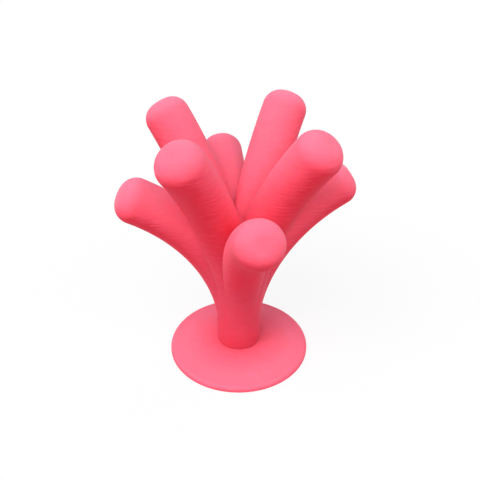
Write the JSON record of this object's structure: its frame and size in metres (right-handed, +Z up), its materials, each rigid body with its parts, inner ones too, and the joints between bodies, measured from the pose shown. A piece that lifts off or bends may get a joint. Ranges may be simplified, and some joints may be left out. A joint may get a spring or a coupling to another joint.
{
  "type": "ring display stand",
  "caption": "Tree-shaped stand for finger rings: steep and shallow round branches fan out from one trunk on a low round base disc.",
  "frame": {"origin": "centre of the base disc's underside, on the trunk's axis", "axes": "+Z up along the trunk; the shallow branches point along -Y (front), +X, +Y and -X, and the steep ones along the diagonals between them"},
  "size_m": [0.0796, 0.0796, 0.0912],
  "materials": {
    "coral_plastic_base": "coral pink printed plastic, satin matte, smooth top with faint concentric print lines",
    "coral_plastic_tree": "coral pink printed plastic, satin matte, fine level print lines on every branch"
  },
  "bodies": {
    "root": {"base_disc": "coral_plastic_base", "branch_tree": "coral_plastic_tree"}
  },
  "joints": []
}
